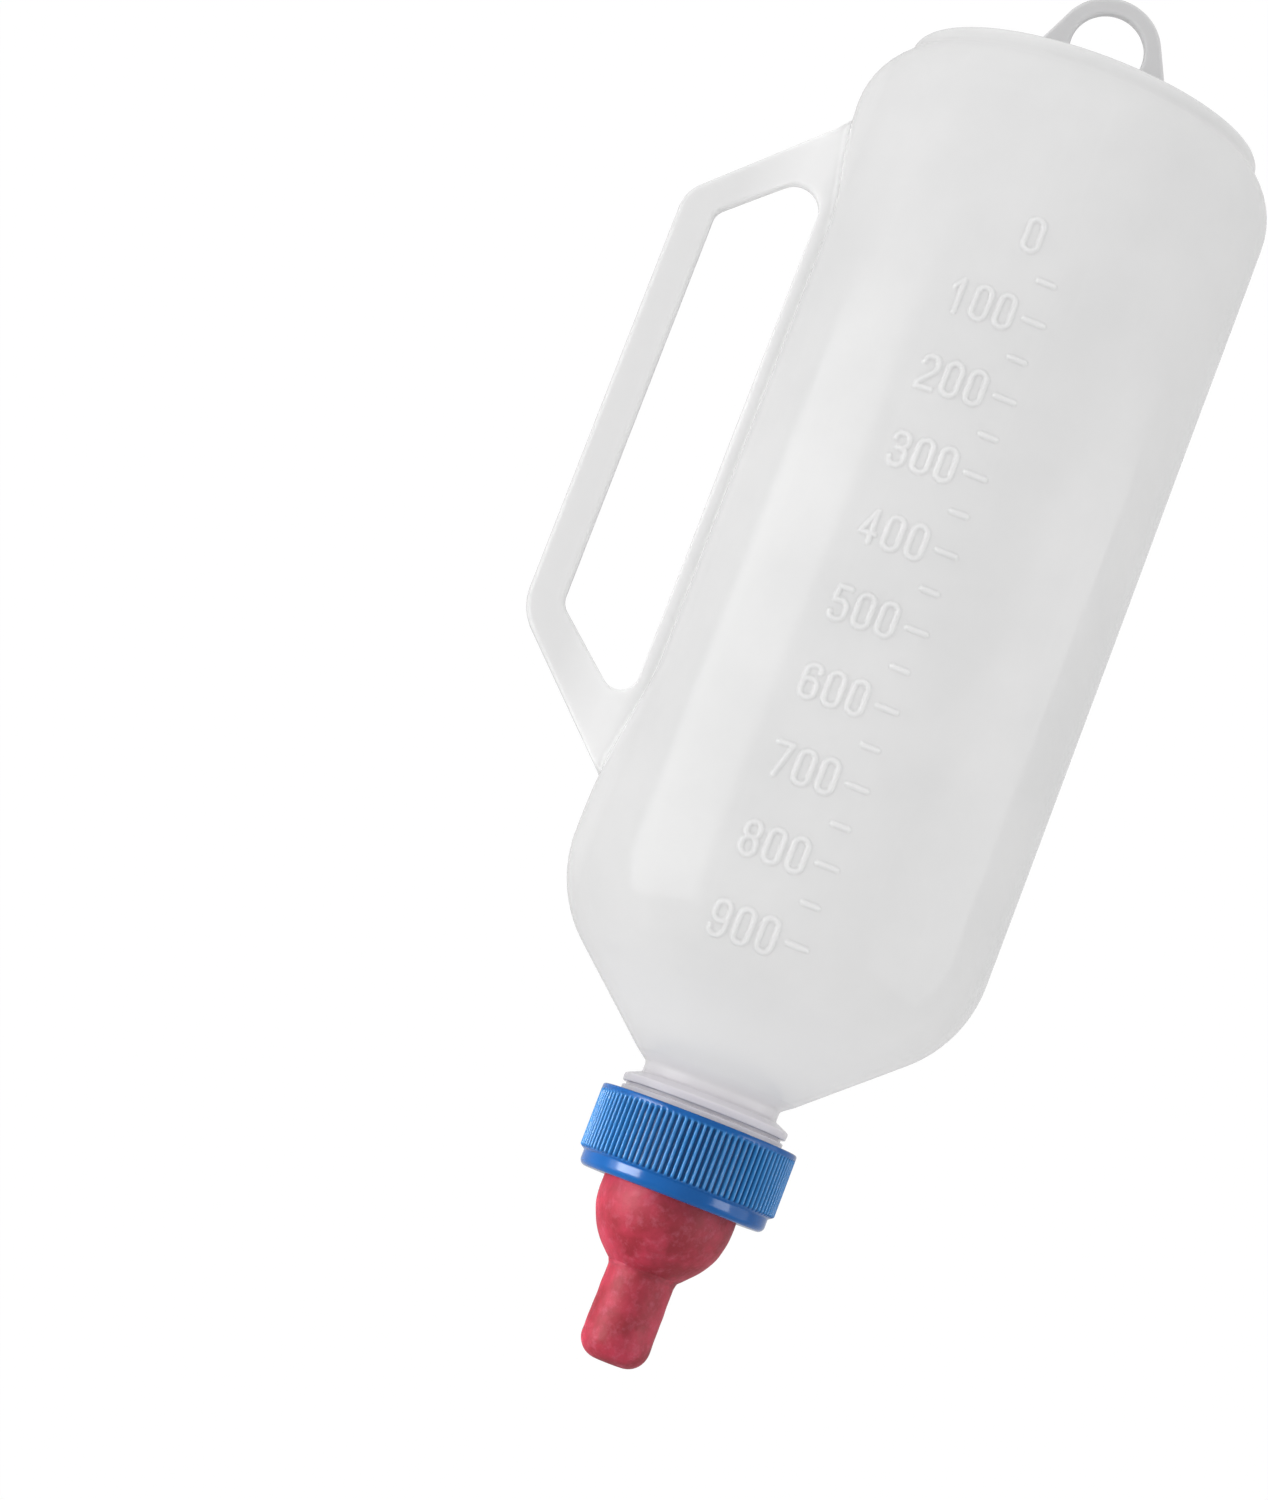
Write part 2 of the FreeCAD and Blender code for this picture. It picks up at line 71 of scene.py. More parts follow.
# Raised scale
ZERO_MARK = 42.5
MARK_PITCH = 16.59
MARKS = 10
RELIEF = 0.4
STROKE_HALF = 0.45
STROKE_EDGE = 0.24
DIGIT_BOX = (2.9, 6.6)                # centre-line width and height of one digit
DIGIT_LEFT = -2.15                    # the last digit's left centre line
DIGIT_ADVANCE = 4.9
TICK_LEFT = 2.9
TICK_RUNS = {"hundred": 5.0, "fifty": 4.2}
NUMBER_REACH = 4.2                    # how far a number and a mark reach from their own depth
TICK_REACH = 0.9
SCALE_SIDES = (-14, 9)                # the whole scale lies between these, seen from the front

# Screw cap
CAP_RADIUS = 21.2
CAP_BORE = 18.7
CAP_THREAD = (230.9, 6.5, 1.4)
RIBS = 96
RIB_STEPS = 9                         # mesh columns to one rib
RIB_DEPTH = 0.78
BELT = (229.7, 242.3)                 # depths where the ribs fade out

# Teat
TEAT_TIP = 281.4
TEAT_TIP_WALL = 2.1
VENT_HALF = 0.5
SLIT = (2.0, 0.45, 0.05)              # each arm's length, depth and half width

# Studio, in metres
BOX_HEIGHT = -0.26
GLINT_HEIGHT = -0.28
SNOOT_DISTANCE = 0.55
CAMERA_PLACE = (-0.0031, -0.8162, -0.2692)
CAMERA_TURN = (1.6937, -0.3665, 0.001)


# ---------------------------------------------------------------- mesh building

def level(depth):
    """Height in the row frame, in metres, of a depth."""
    return -(depth + LOOP_RISE) * MM


def place(x, y, depth):
    """Row-frame points, in metres, of millimetre arrays."""
    return np.stack(np.broadcast_arrays(x, y, -(np.asarray(depth) + LOOP_RISE)), -1) * MM


def corner_arc(before, corner, after, radius):
    """Centre, start angle, turn and both tangent points of the arc that rounds a corner."""
    back = (before - corner) / np.linalg.norm(before - corner)
    ahead = (after - corner) / np.linalg.norm(after - corner)
    half = math.acos(max(-1.0, min(1.0, float(back @ ahead)))) / 2
    run = radius / math.tan(half)
    start, end = corner + back * run, corner + ahead * run
    bisector = back + ahead
    centre = corner + bisector / np.linalg.norm(bisector) * (radius / math.sin(half))
    first = math.atan2(*(start - centre)[::-1])
    turn = (math.atan2(*(end - centre)[::-1]) - first + math.pi) % (2 * math.pi) - math.pi
    return centre, first, turn, start, end


def rounded_path(corners, spacing, closed=False):
    """Points along a path through corners of (x, y) or (x, y, rounding).

    spacing(x, y) is the distance to the next point. An arc turns at most ARC_STEP between points."""
    points = [np.array(c[:2], float) for c in corners]
    count = len(points)
    pieces = []
    for i, corner in enumerate(corners):
        if len(corner) == 2 or (not closed and i in (0, count - 1)):
            pieces.append((points[i], None, points[i]))
            continue
        after = points[(i + 1) % count]
        centre, first, turn, start, end = corner_arc(points[i - 1], points[i], after, corner[2])
        pieces.append((start, (centre, first, turn, corner[2]), end))
    out = []
    for i, (start, arc, end) in enumerate(pieces):
        if arc:
            centre, first, turn, radius = arc
            steps = max(3, math.ceil(abs(turn) / ARC_STEP),
                        math.ceil(abs(turn) * radius / spacing(*((start + end) / 2))))
            for k in range(steps):
                angle = first + turn * k / steps
                out.append(centre + radius * np.array([math.cos(angle), math.sin(angle)]))
        if i == count - 1 and not closed:
            out.append(end)
            break
        target = pieces[(i + 1) % count][0]
        length = np.linalg.norm(target - end)
        if length < 1e-9:
            continue
        along, travelled = (target - end) / length, 0.0
        while travelled < length - 1e-9:
            here = end + along * travelled
            out.append(here)
            step = spacing(*here)
            left = length - travelled
            travelled += step if left > 1.6 * step else left
    return np.array(out)


def even(step):
    """The same spacing everywhere."""
    return lambda x, y: step


def add_object(name, points, faces, body, slot, material, *replaced):
    """A smooth-shaded mesh that rides on a CAD body and stands for CAD nodes."""
    mesh = bpy.data.meshes.new(name)
    mesh.from_pydata(points.tolist(), [], faces)
    mesh.validate()
    mesh.shade_smooth()
    piece = bpy.data.objects.new(name, mesh)
    bpy.context.scene.collection.objects.link(piece)
    mesh.materials.append(material)
    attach(piece, body)
    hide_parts(*replaced)
    return piece


def quads(rows, columns, rows_close):
    """Faces of a grid of points. Its columns close round, and its rows do if rows_close."""
    last = rows if rows_close else rows - 1
    i, j = np.meshgrid(np.arange(last), np.arange(columns), indexing="ij")
    ahead, beside = (i + 1) % rows, (j + 1) % columns
    corners = [i * columns + j, ahead * columns + j, ahead * columns + beside, i * columns + beside]
    return np.stack(corners, -1).reshape(-1, 4).tolist()


def skin(rings, first_pole, last_pole):
    """Points and faces of a closed surface of rings, shut by one point at each end."""
    rows, columns = rings.shape[:2]
    points = np.concatenate([rings.reshape(-1, 3), [first_pole, last_pole]])
    faces = quads(rows, columns, False)
    top, bottom, base = rows * columns, rows * columns + 1, (rows - 1) * columns
    for j in range(columns):
        k = (j + 1) % columns
        faces.append([top, j, k])
        faces.append([bottom, base + k, base + j])
    return points, faces


def add_ring(name, rings, body, slot, material, *replaced):
    """A piece whose surface closes both ways, like a ring's."""
    faces = quads(rings.shape[0], rings.shape[1], True)
    return add_object(name, rings.reshape(-1, 3), faces, body, slot, material, *replaced)


def smooth_min(a, b, k):
    """The lower of two surfaces, blended where they are within k of each other."""
    h = np.maximum(k - np.abs(a - b), 0) / k
    return np.minimum(a, b) - h * h * k / 4


def smoothstep(x):
    """0 below 0, 1 above 1, and a smooth climb between."""
    x = np.clip(x, 0, 1)
    return x * x * (3 - 2 * x)


def thread_ridge(azimuth, depth, start, height):
    """How far a right-hand thread stands out, from 0 to 1, at each azimuth and depth.

    The thread starts at the handle's side and its ends run out over a sixth of a turn."""
    turn = ((-90.0 - azimuth) % 360.0) / 360.0
    best = np.zeros(depth.shape)
    turns = height / THREAD_PITCH
    for lap in range(-1, int(turns) + 2):
        run = turn + lap
        off = np.abs(depth - (start + THREAD_PITCH * run))
        ridge = 1 - smoothstep((off - 0.45) / 0.6)
        ends = smoothstep(run * 6 + 0.2) * smoothstep((turns - run) * 6 + 0.2)
        best = np.maximum(best, ridge * ends * ((run > -0.05) & (run < turns + 0.05)))
    return best


# ---------------------------------------------------------------- raised scale

# The centre lines of each digit's strokes, from its lower left corner, as corners of (x, y) or
# (x, y, rounding).
DIGITS = {
    "0": [[(0, 0, 1.4), (2.9, 0, 1.4), (2.9, 6.6, 1.4), (0, 6.6, 1.4), "closed"]],
    "1": [[(0.35, 5.1), (1.7, 6.6), (1.7, 0)]],
    "2": [[(0, 5.2), (0, 6.6, 1.3), (2.9, 6.6, 1.4), (2.9, 3.9, 1.8), (0, 0.9, 0.5), (0, 0), (2.9, 0)]],
    "3": [[(0, 5.3), (0, 6.6, 1.2), (2.8, 6.6, 1.3), (2.8, 3.5, 1.3), (1.0, 3.5)],
          [(1.0, 3.5), (2.9, 3.5, 1.3), (2.9, 0, 1.4), (0, 0, 1.2), (0, 1.3)]],
    "4": [[(2.1, 0), (2.1, 6.6), (0, 1.9), (2.9, 1.9)]],
    "5": [[(2.7, 6.6), (0.25, 6.6), (0.1, 3.9), (2.9, 3.9, 1.4), (2.9, 0, 1.4), (0, 0, 1.2), (0, 1.3)]],
    "6": [[(2.9, 5.3), (2.9, 6.6, 1.2), (0, 6.6, 1.4), (0, 0, 1.4), (2.9, 0, 1.4), (2.9, 3.8, 1.4),
           (0, 3.8, 1.1), (0, 2.4)]],
    "7": [[(0, 6.6), (2.9, 6.6), (0.95, 0)]],
    "8": [[(0.1, 3.5, 1.3), (2.8, 3.5, 1.3), (2.8, 6.6, 1.3), (0.1, 6.6, 1.3), "closed"],
          [(0, 0, 1.4), (2.9, 0, 1.4), (2.9, 3.5, 1.4), (0, 3.5, 1.4), "closed"]],
}
DIGITS["9"] = [[(DIGIT_BOX[0] - c[0], DIGIT_BOX[1] - c[1], *c[2:]) for c in DIGITS["6"][0]]]


def stroke_lines(stroke):
    """The straight runs, as (start, end), that a stroke's centre line is made of."""
    closed = stroke[-1] == "closed"
    corners = stroke[:-1] if closed else stroke
    path = rounded_path(corners, even(DIGIT_BOX[1] * 2), closed)
    ends = np.roll(path, -1, 0) if closed else path[1:]
    return list(zip(path[: len(ends)], ends))


def tick_line(kind, depth):
    """The run of a mark beside the numbers."""
    return [(TICK_LEFT + STROKE_HALF, depth), (TICK_LEFT + TICK_RUNS[kind] - STROKE_HALF, depth)]


def scale_lines():
    """Every straight run of the raised scale, as (x, depth) pairs, in groups of one mark each."""
    groups = []
    for mark in range(MARKS):
        middle = ZERO_MARK + mark * MARK_PITCH
        runs = []
        for position, digit in enumerate(reversed(str(100 * mark))):
            left = DIGIT_LEFT - position * DIGIT_ADVANCE
            for stroke in DIGITS[digit]:
                for start, end in stroke_lines(stroke):
                    runs.append([(left + p[0], middle + DIGIT_BOX[1] / 2 - p[1]) for p in (start, end)])
        if mark:
            runs.append(tick_line("hundred", middle))
        groups.append((middle, runs))
        if mark < MARKS - 1:
            half = middle + MARK_PITCH / 2
            groups.append((half, [tick_line("fifty", half)]))
    return groups


def relief_gap(depth):
    """How far a row of the wall lies from the nearest number or mark, 0 on one."""
    along = (depth - ZERO_MARK) / MARK_PITCH
    number = min(max(round(along), 0), MARKS - 1)
    half = min(max(math.floor(along), 0), MARKS - 2) + 0.5
    off_number = abs(along - number) * MARK_PITCH - NUMBER_REACH
    off_half = abs(along - half) * MARK_PITCH - TICK_REACH
    return max(0.0, min(off_number, off_half))


def relief_height(x, depth):
    """Height of the raised scale at points seen from the front."""
    height = np.zeros(x.shape)
    for middle, runs in scale_lines():
        rows = np.abs(depth - middle) < NUMBER_REACH + 0.2
        patch = rows & (x > SCALE_SIDES[0]) & (x < SCALE_SIDES[1])
        px, pd = x[patch], depth[patch]
        if not px.size:
            continue
        distance = np.full(px.shape, 9.0)
        for (x0, d0), (x1, d1) in runs:
            run = np.array([x1 - x0, d1 - d0])
            share = np.clip(((px - x0) * run[0] + (pd - d0) * run[1]) / max(run @ run, 1e-12), 0, 1)
            distance = np.minimum(distance, np.hypot(px - x0 - share * run[0], pd - d0 - share * run[1]))
        height[patch] = 1 - smoothstep((distance - STROKE_HALF + STROKE_EDGE) / (2 * STROKE_EDGE))
    return RELIEF * height


# ---------------------------------------------------------------- bottle

def wall_spacing(radius, depth):
    """Spacing of the bottle's rows: close together across the raised scale and the thread."""
    if radius > 25:
        return min(1.8, 0.24 + 0.3 * relief_gap(depth))
    if radius < 19 and 230.5 < depth < 241.5 and radius > 14:
        return 0.3
    return 1.8


def bottle_columns():
    """Azimuths of the mesh columns, close together on the scale, the recess's edge and the mould line.

    Each stop is an azimuth and the step between columns from there on."""
    stops = [(-180, 1.5), (-128, 0.8), (-93, 0.3), (-87, 0.8), (-52, 1.5), (-24, 1.05), (-20.5, 0.7),
             (-18.5, 0.45), (-17.4, 0.285), (10.8, 0.45), (12.2, 0.7), (14.5, 1.05), (18, 1.5),
             (87, 0.3), (93, 1.5), (180, None)]
    columns = []
    for (start, step), (end, _) in zip(stops[:-1], stops[1:]):
        count = math.ceil((end - start) / step - 1e-9)
        columns += [start + (end - start) * k / count for k in range(count)]
    return np.array(columns)


def recess_floor():
    """(depths, distance from the axis) of the flat finger recess beside the handle."""
    full = BODY_RADIUS - RECESS_DEPTH
    path = rounded_path([(6.0, BODY_RADIUS + 3.2), (44.0, full, 40.0), (147.0, full, 40.0),
                         (186.0, BODY_RADIUS + 3.06)], even(1.0))
    return path[:, 0], path[:, 1]


def waves(azimuth, depth):
    """The slight unevenness of a blown wall, from -1 to 1."""
    a = np.radians(azimuth)
    return (0.4 * np.sin(3 * a + depth * 0.031) + 0.3 * np.sin(5 * a - depth * 0.058 + 1.3)
            + 0.3 * np.sin(2 * a + depth * 0.094 + 2.1))


def bottle_profile():
    """The outside's points, from the base's middle into the mouth, and the inside's, back again."""
    seam = (NECK_BORE, 240.5)
    outside = rounded_path([
        (0.9, 0), (38.2, 0, 2.1), (38.5, 3.6, 2.4), (BODY_RADIUS, 9.9, 15.4),
        (BODY_RADIUS, SHOULDER_START, 28.2), (17.3, 219.3, 1.6), (NECK_RADIUS, 221.3, 1.2),
        (NECK_RADIUS, 223.6, 0.5), (17.8, 225.0, 0.6), (17.8, 226.6, 0.25), (16.9, 226.6, 0.15),
        (16.9, 227.3, 0.15), (17.6, 227.3, 0.25), (17.6, 229.6, 0.5), (FINISH_RADIUS, 229.6, 0.4),
        (FINISH_RADIUS, FINISH_END, 0.5), (NECK_BORE, FINISH_END, 0.4), seam,
    ], wall_spacing)
    inside = rounded_path([
        seam, (NECK_BORE, 221.6, 2.0), (16.3, 218.7, 2.0), (BODY_RADIUS - WALL, 194.1, 27.0),
        (BODY_RADIUS - WALL, 10.4, 14.2), (37.3, 4.2, 1.5), (37.0, WALL, 0.9), (0.9, WALL),
    ], even(2.5))[1:]
    return outside, inside


def bottle_relief(azimuth, radius, depth, is_outer):
    """How far the raised scale, the unevenness, the mould line and the thread lift the plain profile."""
    x_seen = radius * np.sin(np.radians(azimuth))
    front = is_outer & (np.abs(azimuth) < 30) & (radius > 30) & (depth > 30)
    lift = np.where(front, relief_height(np.where(front, x_seen, 99.0), depth), 0)
    wall = smoothstep((depth - 8) / 20) * smoothstep((212 - depth) / 30) * (radius > 18)
    lift = lift + UNEVENNESS * waves(azimuth, depth) * wall
    height, half_width = MOULD_LINE
    off_line = np.minimum(np.abs(np.abs(azimuth) - 90) * math.pi / 180 * radius, 9.0)
    line = 1 - smoothstep(off_line / half_width)
    lift = lift + height * line * is_outer * (depth < 226) * (radius > 6)
    finish = is_outer & (radius > 15) & (radius < 17) & (depth > 230) & (depth < 241.6)
    start, height, ridge = NECK_THREAD
    return lift + ridge * thread_ridge(azimuth, depth, start, height) * finish


def make_bottle(material):
    """One closed mesh: base, wall, recess, raised scale, shoulder, neck finish, thread and inside."""
    outside, inside = bottle_profile()
    path = np.concatenate([outside, inside])
    is_outer = (np.arange(len(path)) < len(outside))[:, None]
    radius, depth, azimuth = np.broadcast_arrays(path[:, :1], path[:, 1:], bottle_columns())
    tangent = np.gradient(path, axis=0)
    tangent /= np.linalg.norm(tangent, axis=1, keepdims=True)
    lift = bottle_relief(azimuth, radius, depth, is_outer)
    r = radius + lift * tangent[:, 1:]
    d = depth - lift * tangent[:, :1]
    a = np.radians(azimuth)
    x, y = r * np.sin(a), -r * np.cos(a)
    depths, floors = recess_floor()
    floor = np.interp(d, depths, floors, left=99.0, right=99.0) - np.where(is_outer, 0, WALL)
    x = -smooth_min(-x, floor, 1.4)
    points, faces = skin(place(x, y, d), place(0, 0, 0.0), place(0, 0, WALL))
    return add_object("bottle_shell", points, faces, "bottle", "bottle_plastic", material,
                      "bottle_body", "neck_finish", "scale_numerals", "scale_ticks")


# ---------------------------------------------------------------- handle and loop

def plate_section(edge, half, spread):
    """Closed cross-section of a flat plate with rounded edges: (distance across, share of it, offset y).

    Both edges carry a fine parting line. spread gives the shares across the flat face."""
    arc = np.radians(np.linspace(0, 90, 7))
    near_s, near_y = edge - edge * np.cos(arc), half - edge + edge * np.sin(arc)
    upper = [(s, 0.0, y) for s, y in zip(near_s, near_y)]
    upper += [(edge * (1 - 2 * t), t, half) for t in spread]
    upper += [(-s, 1.0, y) for s, y in zip(near_s[::-1], near_y[::-1])]
    lower = [(s, t, -y) for s, t, y in upper[::-1]]
    high, wide = PARTING_LINE
    far_line = [(0.0, 1.0, wide), (high, 1.0, 0.0), (0.0, 1.0, -wide)]
    near_line = [(0.0, 0.0, -wide), (-high, 0.0, 0.0)]
    return np.array([(0.0, 0.0, wide)] + upper + far_line + lower + near_line)


def plate_ring(inner, outer, section, stand, flare):
    """Rings of a plate between two closed outlines, as points in its plane and their offsets from it.

    stand gives the distance to what the plate stands on, and its faces swell within flare of that."""
    span = (outer - inner)[:, None, :]
    unit = span / np.linalg.norm(span, axis=2, keepdims=True)
    across, share, y = section.T
    where = inner[:, None, :] + span * share[:, None] + unit * across[:, None]
    off = np.clip(stand(where[..., 0], where[..., 1]), 0, flare)
    swell = flare - np.sqrt(np.maximum(flare ** 2 - (flare - off) ** 2, 0))
    y = y[None, :] + np.sign(np.where(np.abs(y) > 0.3, y, 0))[None, :] * swell
    return where, y


def matched(corners_a, corners_b, runs, arcs):
    """Two closed outlines of four corners each, sampled so that their points pair up."""
    out = []
    for corners in (corners_a, corners_b):
        points = [np.array(c[:2], float) for c in corners]
        ends = []
        for i, corner in enumerate(corners):
            before, after = points[i - 1], points[(i + 1) % len(points)]
            centre, first, turn, start, end = corner_arc(before, points[i], after, corner[2])
            angles = first + turn * np.linspace(0, 1, arcs)
            ends.append((start, centre + corner[2] * np.stack([np.cos(angles), np.sin(angles)], 1), end))
        path = []
        for i in range(len(corners)):
            path.append(ends[i][1])
            share = np.linspace(0, 1, runs[i] + 2)[1:-1, None]
            path.append(ends[i][2] * (1 - share) + ends[(i + 1) % len(corners)][0] * share)
        out.append(np.concatenate(path))
    return out


def make_handle(material):
    """The flat grip plate round the finger gap. Its root is sunk into the wall, with a small fillet."""
    depths, floors = recess_floor()

    def surface(depth):
        return np.minimum(np.interp(depth, depths, floors), BODY_RADIUS)

    root = BODY_RADIUS - PLATE_ROOT
    gap = [(44.5, 31.2, 5.2), (64.8, 49.6, 4.0), (64.8, 139.0, 4.0), (44.5, 156.4, 4.0)]
    outline = [(root, 20.55, 0.4), (72.5, 47.6, 8.0), (72.5, 142.8, 12.0), (root, 170.2, 0.4)]
    inner, outer = matched(gap, outline, [10, 60, 10, 70], 14)
    sunk = outer[:, 0] < 45.0
    outer[sunk, 0] = surface(outer[sunk, 1]) - PLATE_ROOT
    share = 1 - (1 - np.linspace(0, 1, 22)[1:-1]) ** 1.8
    section = plate_section(1.0, HANDLE_HALF, share)
    where, y = plate_ring(inner, outer, section, lambda x, depth: x - surface(depth), 1.6)
    return add_ring("handle_web", place(-where[..., 0], y, where[..., 1]), "bottle", "bottle_plastic",
                    material, "carry_handle")


def make_loop(material):
    """The hanging tab with its round hole. Its foot is sunk in the base, with a small fillet."""
    foot = 19.1
    outline = rounded_path([(foot, 0.8), (0, -40.1, 11.5), (-foot, 0.8)], even(0.6), True)
    centre = np.array([0, -LOOP_RISE])
    angle = np.arctan2(*(outline - centre).T[::-1])
    hole = centre + LOOP_HOLE * np.stack([np.cos(angle), np.sin(angle)], 1)
    section = plate_section(0.7, LOOP_HALF, np.linspace(0, 1, 18)[1:-1])
    where, y = plate_ring(hole, outline, section, lambda x, depth: -depth + 0 * x, 1.4)
    return add_ring("loop_tab", place(where[..., 0], y, where[..., 1]), "bottle", "bottle_plastic",
                    material, "hanging_loop")


# ---------------------------------------------------------------- closure

def make_cap(material):
    """The screw cap: plain rim, a belt of upright ribs, a stepped lip, and the thread inside."""
    def spacing(radius, depth):
        if radius > 20.5:
            return 2.0 if 230.3 < depth < 240.0 else 0.35
        return 0.42 if radius < 19 and 229.5 < depth < 239 else 1.5

    path = rounded_path([
        (CAP_BORE, 228.5, 0.35), (CAP_RADIUS, 228.5, 0.5), (CAP_RADIUS, 241.9, 0.5), (20.1, 242.7, 0.35),
        (20.1, 245.8, 1.4), (14.9, 245.8, 0.5), (14.9, 244.25, 0.15), (CAP_BORE, 244.25, 0.15),
    ], spacing, True)
    columns = np.linspace(0, 360, RIBS * RIB_STEPS, endpoint=False) - 180
    radius, depth, azimuth = np.broadcast_arrays(path[:, :1], path[:, 1:], columns)
    a = np.radians(azimuth)
    wave = smoothstep((np.cos(a * RIBS) + 0.75) / 1.45)
    belt = smoothstep((depth - BELT[0]) / 0.5) * smoothstep((BELT[1] - depth) / 0.5) * (radius > 19.5)
    groove = RIB_DEPTH * (1 - wave) * belt
    start, height, ridge = CAP_THREAD
    inner = (np.abs(radius - CAP_BORE) < 0.05) & (depth > 229.2) & (depth < 239.5)
    turn = thread_ridge(azimuth, depth, start, height) * inner
    r = radius - groove - ridge * turn
    return add_ring("cap_ring", place(r * np.sin(a), -r * np.cos(a), depth), "cap_body", "cap_plastic",
                    material, "screw_cap")


def make_teat(material):
    """The rubber teat: flange with two vent grooves, bulb, waist, nipple and cross slit."""
    def spacing(radius, depth):
        return 0.16 if depth > 277 and radius < 4.5 else 0.7

    end_inside = TEAT_TIP - TEAT_TIP_WALL
    outside = rounded_path([
        (12.3, 250.0), (12.3, 242.25, 0.3), (17.0, 242.25, 0.4), (17.0, 244.15, 0.4),
        (14.4, 244.15, 0.3), (14.4, 254.6, 15.9), (7.15, 261.9, 2.6), (7.35, TEAT_TIP, 4.6),
        (0.12, TEAT_TIP),
    ], spacing)
    inside = rounded_path([
        (0.12, end_inside), (5.25, end_inside, 2.5), (5.05, 260.85, 5.0), (12.3, 253.55, 13.8),
        (12.3, 250.0),
    ], even(1.2))[:-1]
    path = np.concatenate([inside[::-1], outside])
    is_outside = (np.arange(len(path)) >= len(inside))[:, None]
    turn = np.linspace(-180, 180, 300, endpoint=False)
    radius, depth, azimuth = np.broadcast_arrays(path[:, :1], path[:, 1:], turn)
    a = np.radians(azimuth)
    x, y = radius * np.sin(a), -radius * np.cos(a)

    vent = (radius > 12.4) & (radius < 17.2) & (depth < 242.8)
    d = depth + 0.6 * vent * (1 - smoothstep((np.abs(y) - VENT_HALF) / 0.35))
    arm, slit_depth, half_width = SLIT
    on_tip = is_outside & (depth > TEAT_TIP - 0.6) & (radius < 3.5)
    off_slit = np.minimum(np.abs(x) + 9 * (np.abs(y) > arm), np.abs(y) + 9 * (np.abs(x) > arm))
    d = d - slit_depth * on_tip * (1 - smoothstep((off_slit - half_width) / 0.28))

    outer_skin = is_outside & (depth > 245)
    lumps = (np.sin(3 * a + depth * 0.31) * np.sin(depth * 0.47 + 1.0)
             + 0.6 * np.sin(7 * a - depth * 0.9) + 0.5 * np.sin(13 * a + depth * 1.7 + 2.0))
    swell = 0.035 * lumps * outer_skin * smoothstep((radius - 3) / 3)
    waist = 0.16 * np.exp(-((depth - 261.6) / 0.35) ** 2) * outer_skin
    x, y = x + (swell - waist) * np.sin(a), y - (swell - waist) * np.cos(a)
    points, faces = skin(place(x, y, d), place(0, 0, end_inside), place(0, 0, TEAT_TIP - slit_depth))
    return add_object("teat_rubber", points, faces, "teat_body", "teat_rubber", material, "teat")


# ---------------------------------------------------------------- materials

class Nodes:
    """Short words for wiring a node tree."""

    def __init__(self, tree):
        self.tree = tree

    def add(self, kind, inputs=None, **settings):
        node = self.tree.nodes.new(kind)
        for name, setting in settings.items():
            setattr(node, name, setting)
        for name, source in (inputs or {}).items():
            if isinstance(source, bpy.types.NodeSocket):
                self.tree.links.new(source, node.inputs[name])
            else:
                node.inputs[name].default_value = source
        return node

    def noise(self, where, scale, detail=3.0, rough=0.5):
        """Noise with scale waves to the metre."""
        made = self.add("ShaderNodeTexNoise", {"Vector": where, "Scale": scale, "Detail": detail,
                                               "Roughness": rough})
        return made.outputs["Fac"]

    def spread(self, value, low, high, to_low, to_high):
        """A value between low and high, spread to between to_low and to_high."""
        made = self.add("ShaderNodeMapRange", {"Value": value, "From Min": low, "From Max": high,
                                               "To Min": to_low, "To Max": to_high})
        return made.outputs["Result"]

    def blend(self, share, first, second):
        """The first colour where share is 0, the second where it is 1."""
        mix = self.add("ShaderNodeMix", data_type="RGBA")
        self.tree.links.new(share, mix.inputs[0])
        for index, source in ((6, first), (7, second)):
            if isinstance(source, bpy.types.NodeSocket):
                self.tree.links.new(source, mix.inputs[index])
            else:
                mix.inputs[index].default_value = (*source, 1)
        return mix.outputs[2]

    def sum(self, first, second, share):
        """first, plus share of second."""
        scaled = self.add("ShaderNodeMath", {0: second, 1: share}, operation="MULTIPLY").outputs[0]
        return self.add("ShaderNodeMath", {0: first, 1: scaled}, operation="ADD").outputs[0]


def start_material(name):
    """A new material, its nodes, its shader, and where a point is in the row frame."""
    material = bpy.data.materials.new(name)
    material.use_nodes = True
    nodes = Nodes(material.node_tree)
    shader = material.node_tree.nodes["Principled BSDF"]
    where = nodes.add("ShaderNodeTexCoord").outputs["Object"]
    return material, nodes, shader, where


def link_bump(nodes, shader, height, strength, distance):
    """A fine surface texture of a height field."""
    bump = nodes.add("ShaderNodeBump", {"Height": height, "Strength": strength, "Distance": distance})
    nodes.tree.links.new(bump.outputs["Normal"], shader.inputs["Normal"])


